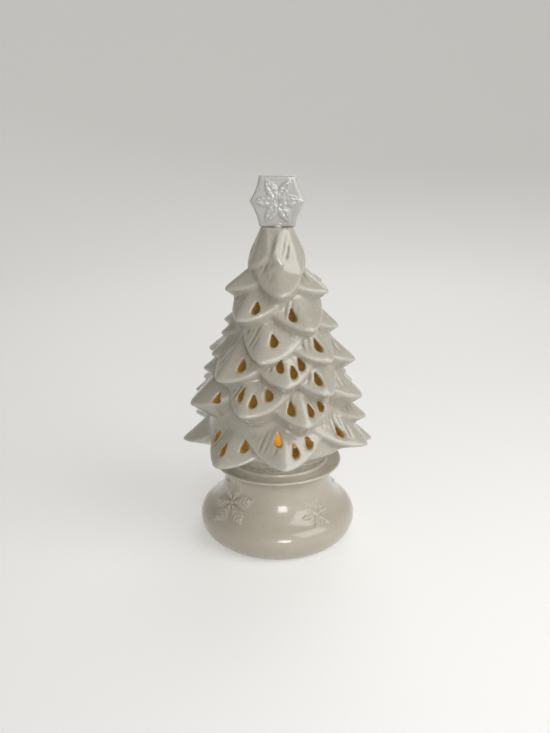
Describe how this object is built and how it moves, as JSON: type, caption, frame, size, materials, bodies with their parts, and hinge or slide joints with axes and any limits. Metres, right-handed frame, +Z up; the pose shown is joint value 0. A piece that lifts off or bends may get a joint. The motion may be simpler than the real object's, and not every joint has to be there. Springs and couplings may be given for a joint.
{
  "type": "ceramic christmas tree",
  "caption": "White glazed ceramic tree lantern: a pierced hollow tree of overlapping boughs on a flared pedestal, lit by a battery tealight inside.",
  "frame": {"origin": "on the table, under the middle of the foot ring", "axes": "+Z up, -Y towards the viewer of the picture, +X to the viewer's right"},
  "size_m": [0.163, 0.1596, 0.3],
  "materials": {
    "white_glaze": "gloss white glaze",
    "pearl_glaze": "pearly white glaze",
    "ivory_plastic": "ivory moulded",
    "amber_plastic": "translucent amber",
    "lamp_resin": "clear amber resin",
    "tinned_wire": "tinned",
    "cell_steel": "brushed",
    "spring_strip": "nickel plated",
    "black_plastic": "black moulded"
  },
  "bodies": {
    "pedestal": {"base_pedestal": "white_glaze"},
    "tree": {"tree_shade": "white_glaze", "snowflake_topper": "pearl_glaze"},
    "tealight": {"tealight_case": "ivory_plastic", "tealight_flame": "amber_plastic", "tealight_led": "lamp_resin", "led_lead_positive": "tinned_wire", "led_lead_negative": "tinned_wire", "tealight_bottom_plate": "ivory_plastic", "battery_cell": "cell_steel", "contact_positive": "spring_strip", "contact_negative": "spring_strip"},
    "door": {"battery_door": "ivory_plastic"},
    "switch": {"switch_slider": "black_plastic"}
  },
  "joints": [
    {"name": "tree_lift", "type": "slide", "parent": "pedestal", "child": "tree", "axis": [0, 0, 1], "range_m": [0, 0.12]},
    {"name": "tealight_lift", "type": "slide", "parent": "pedestal", "child": "tealight", "axis": [0, 0, 1], "range_m": [0, 0.012]},
    {"name": "door_twist", "type": "hinge", "parent": "tealight", "child": "door", "pos_m": [-0.003, 0, 0.0625], "axis": [0, 0, 1], "range_deg": [0, 45]},
    {"name": "switch_slide", "type": "slide", "parent": "tealight", "child": "switch", "axis": [0, 1, 0], "range_m": [0, 0.003]}
  ]
}
